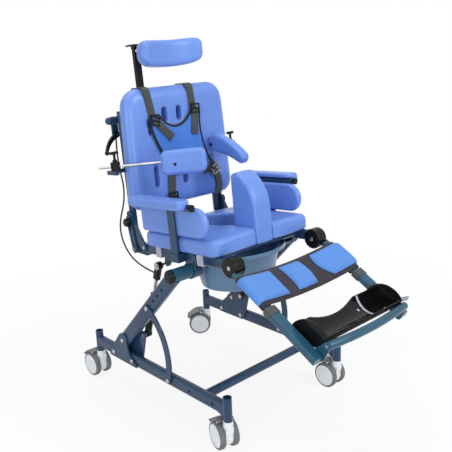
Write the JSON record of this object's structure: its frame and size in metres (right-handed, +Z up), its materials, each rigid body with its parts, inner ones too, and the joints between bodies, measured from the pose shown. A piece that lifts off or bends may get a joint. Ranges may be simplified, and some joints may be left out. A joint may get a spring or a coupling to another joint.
{
  "type": "tilt shower commode chair",
  "caption": "Child-size tilt-in-space shower commode chair on castors with pan, pommel, armrests, reclining back, harness, lateral pads, headrest and legrest.",
  "frame": {"origin": "on the floor at the middle of the whole chair's box in the pictured pose", "axes": "+Z up, the sitter faces -Y, the sitter's left is +X"},
  "size_m": [0.5442, 0.9988, 1.0946],
  "materials": {
    "black_plastic": "glossy black moulding",
    "black_satin": "satin black moulding",
    "cable_black": "black sheath",
    "calf_blue": "light blue padded fabric",
    "castor_grey": "grey non-marking tread",
    "castor_white": "white moulding",
    "clip_grey": "light grey moulding",
    "cushion_blue": "soft blue integral-skin foam",
    "frame_paint": "satin powder coat, dark blue-green",
    "pan_grey": "translucent grey-blue moulding",
    "pedal_grey": "grey moulding",
    "steel": "bright plated fasteners and rods",
    "vest_blue": "blue padded fabric with a black binding",
    "webbing": "black webbing"
  },
  "bodies": {
    "base": {"base_rails": "frame_paint", "corner_posts": "frame_paint", "arm_brackets": "frame_paint", "lift_arms": "frame_paint", "arm_braces": "frame_paint", "tilt_hubs": "frame_paint", "tube_plugs": "black_plastic", "base_bolts": "steel"},
    "seat": {"seat_side_rails": "frame_paint", "seat_cross_members": "frame_paint", "tilt_hangers": "frame_paint", "seat_cushion": "cushion_blue", "cushion_clips": "clip_grey", "knee_housings": "black_plastic", "seat_pins": "steel", "tilt_cable": "cable_black"},
    "gas_cylinders": {"gas_cylinders": "black_satin"},
    "gas_rods": {"gas_rods": "steel"},
    "pan": {"commode_pan": "pan_grey"},
    "pommel": {"pommel": "cushion_blue"},
    "recline_struts": {"recline_struts": "frame_paint"},
    "back": {"back_frame": "frame_paint", "back_cushion": "cushion_blue", "push_bar": "black_satin", "hand_knobs": "black_plastic", "chest_vest": "vest_blue", "harness_straps": "webbing"},
    "release_lever": {"release_lever": "black_plastic"},
    "headrest_post": {"headrest_post": "frame_paint"},
    "headrest": {"headrest_arm": "black_satin", "headrest_pad": "cushion_blue"},
    "legrest": {"leg_frame": "frame_paint", "calf_sling": "calf_blue"},
    "leg_lower": {"leg_lower_tubes": "frame_paint"},
    "footrest": {"foot_tube": "frame_paint", "foot_shell": "black_plastic"},
    "castor_front_left": {"castor_fork_front_left": "castor_white"},
    "wheels_front_left": {"castor_wheels_front_left": "castor_grey"},
    "pedal_front_left": {"castor_pedal_front_left": "pedal_grey"},
    "castor_front_right": {"castor_fork_front_right": "castor_white"},
    "wheels_front_right": {"castor_wheels_front_right": "castor_grey"},
    "pedal_front_right": {"castor_pedal_front_right": "pedal_grey"},
    "castor_rear_left": {"castor_fork_rear_left": "castor_white"},
    "wheels_rear_left": {"castor_wheels_rear_left": "castor_grey"},
    "pedal_rear_left": {"castor_pedal_rear_left": "pedal_grey"},
    "castor_rear_right": {"castor_fork_rear_right": "castor_white"},
    "wheels_rear_right": {"castor_wheels_rear_right": "castor_grey"},
    "pedal_rear_right": {"castor_pedal_rear_right": "pedal_grey"},
    "armrest_left": {"armrest_frame_left": "frame_paint", "armrest_pad_left": "cushion_blue", "side_panel_left": "cushion_blue"},
    "lateral_block_left": {"lateral_block_left": "black_satin"},
    "lateral_left": {"lateral_rod_left": "steel", "lateral_pad_left": "cushion_blue"},
    "armrest_right": {"armrest_frame_right": "frame_paint", "armrest_pad_right": "cushion_blue", "side_panel_right": "cushion_blue"},
    "lateral_block_right": {"lateral_block_right": "black_satin"},
    "lateral_right": {"lateral_rod_right": "steel", "lateral_pad_right": "cushion_blue"}
  },
  "joints": [
    {"name": "seat_tilt", "type": "hinge", "parent": "base", "child": "seat", "pos_m": [0, 0.00062, 0.463], "axis": [-1, 0, 0], "range_deg": [-5, 20], "deforming": ["tilt_cable"]},
    {"name": "gas_spring_swing", "type": "hinge", "parent": "base", "child": "gas_cylinders", "pos_m": [0, 0.19362, 0.217], "axis": [1, 0, 0], "range_deg": [-1.39, 4.96]},
    {"name": "gas_rod_stroke", "type": "slide", "parent": "gas_cylinders", "child": "gas_rods", "axis": [0, -0.3129, 0.9498], "range_m": [-0.03417, 0.00892]},
    {"name": "back_recline", "type": "hinge", "parent": "seat", "child": "back", "pos_m": [0, 0.21049, 0.4868], "axis": [-1, 0, 0], "range_deg": [0, 20], "deforming": ["tilt_cable"]},
    {"name": "strut_swing", "type": "hinge", "parent": "seat", "child": "recline_struts", "pos_m": [0, 0.25055, 0.47426], "axis": [-1, 0, 0], "range_deg": [-0.3, 21.5]},
    {"name": "release_squeeze", "type": "hinge", "parent": "back", "child": "release_lever", "pos_m": [-0.176, 0.3185, 0.82066], "axis": [0, 0.9962, -0.0872], "range_deg": [0, 15], "stiffness_Nm_per_rad": 1.2},
    {"name": "headrest_height", "type": "slide", "parent": "back", "child": "headrest_post", "axis": [0, 0.0872, 0.9962], "range_m": [-0.01, 0.06]},
    {"name": "headrest_tilt", "type": "hinge", "parent": "headrest_post", "child": "headrest", "pos_m": [-0.055, 0.36039, 1.06995], "axis": [-1, 0, 0], "range_deg": [-15, 15]},
    {"name": "lateral_swing_left", "type": "hinge", "parent": "back", "child": "lateral_block_left", "pos_m": [0.233, 0.25363, 0.739], "axis": [0, 0.0872, 0.9962], "range_deg": [0, 40]},
    {"name": "lateral_reach_left", "type": "slide", "parent": "lateral_block_left", "child": "lateral_left", "axis": [-0.7266, -0.6845, 0.0599], "range_m": [0, 0.06]},
    {"name": "armrest_lift_left", "type": "slide", "parent": "seat", "child": "armrest_left", "axis": [0, 0.0872, 0.9962], "range_m": [0, 0.06]},
    {"name": "lateral_swing_right", "type": "hinge", "parent": "back", "child": "lateral_block_right", "pos_m": [-0.233, 0.25363, 0.739], "axis": [0, -0.0872, -0.9962], "range_deg": [0, 40]},
    {"name": "lateral_reach_right", "type": "slide", "parent": "lateral_block_right", "child": "lateral_right", "axis": [0.7266, -0.6845, 0.0599], "range_m": [-0.06, 0.02]},
    {"name": "armrest_lift_right", "type": "slide", "parent": "seat", "child": "armrest_right", "axis": [0, 0.0872, 0.9962], "range_m": [0, 0.06]},
    {"name": "pan_slide", "type": "slide", "parent": "seat", "child": "pan", "axis": [0, 0.9962, -0.0872], "range_m": [0, 0.26]},
    {"name": "pommel_lift", "type": "slide", "parent": "seat", "child": "pommel", "axis": [0, 0.0872, 0.9962], "range_m": [0, 0.12]},
    {"name": "legrest_swing", "type": "hinge", "parent": "seat", "child": "legrest", "pos_m": [0, -0.16541, 0.51005], "axis": [1, 0, 0], "range_deg": [-25, 50]},
    {"name": "leg_length", "type": "slide", "parent": "legrest", "child": "leg_lower", "axis": [0, -0.8746, -0.4848], "range_m": [0, 0.08]},
    {"name": "footrest_flip", "type": "hinge", "parent": "leg_lower", "child": "footrest", "pos_m": [0, -0.47538, 0.382], "axis": [1, 0, 0], "range_deg": [-10, 70]},
    {"name": "swivel_front_left", "type": "hinge", "parent": "base", "child": "castor_front_left", "pos_m": [0.2375, -0.19638, 0.094], "axis": [0, 0, 1], "continuous": true},
    {"name": "roll_front_left", "type": "hinge", "parent": "castor_front_left", "child": "wheels_front_left", "pos_m": [0.2375, -0.16938, 0.04], "axis": [1, 0, 0], "continuous": true},
    {"name": "brake_front_left", "type": "hinge", "parent": "castor_front_left", "child": "pedal_front_left", "pos_m": [0.2375, -0.17588, 0.085], "axis": [-1, 0, 0], "range_deg": [0, 5]},
    {"name": "swivel_front_right", "type": "hinge", "parent": "base", "child": "castor_front_right", "pos_m": [-0.2375, -0.19638, 0.094], "axis": [0, 0, 1], "continuous": true},
    {"name": "roll_front_right", "type": "hinge", "parent": "castor_front_right", "child": "wheels_front_right", "pos_m": [-0.23006, -0.17043, 0.04], "axis": [0.9613, -0.2756, 0], "continuous": true},
    {"name": "brake_front_right", "type": "hinge", "parent": "castor_front_right", "child": "pedal_front_right", "pos_m": [-0.23185, -0.17668, 0.085], "axis": [-0.9613, 0.2756, 0], "range_deg": [0, 5]},
    {"name": "swivel_rear_left", "type": "hinge", "parent": "base", "child": "castor_rear_left", "pos_m": [0.2375, 0.42562, 0.094], "axis": [0, 0, 1], "continuous": true},
    {"name": "roll_rear_left", "type": "hinge", "parent": "castor_rear_left", "child": "wheels_rear_left", "pos_m": [0.21775, 0.44403, 0.04], "axis": [0.682, 0.7314, 0], "continuous": true},
    {"name": "brake_rear_left", "type": "hinge", "parent": "castor_rear_left", "child": "pedal_rear_left", "pos_m": [0.22251, 0.4396, 0.085], "axis": [-0.682, -0.7314, 0], "range_deg": [0, 5]},
    {"name": "swivel_rear_right", "type": "hinge", "parent": "base", "child": "castor_rear_right", "pos_m": [-0.2375, 0.42562, 0.094], "axis": [0, 0, 1], "continuous": true},
    {"name": "roll_rear_right", "type": "hinge", "parent": "castor_rear_right", "child": "wheels_rear_right", "pos_m": [-0.2375, 0.45262, 0.04], "axis": [1, 0, 0], "continuous": true},
    {"name": "brake_rear_right", "type": "hinge", "parent": "castor_rear_right", "child": "pedal_rear_right", "pos_m": [-0.2375, 0.44612, 0.085], "axis": [-1, 0, 0], "range_deg": [0, 5]}
  ],
  "couplings": [
    {"joint": "gas_spring_swing", "follows": "seat_tilt", "ratio": 0.23799},
    {"joint": "gas_rod_stroke", "follows": "seat_tilt", "m_per_rad": -0.096447},
    {"joint": "strut_swing", "follows": "back_recline", "ratio": 1.05}
  ]
}
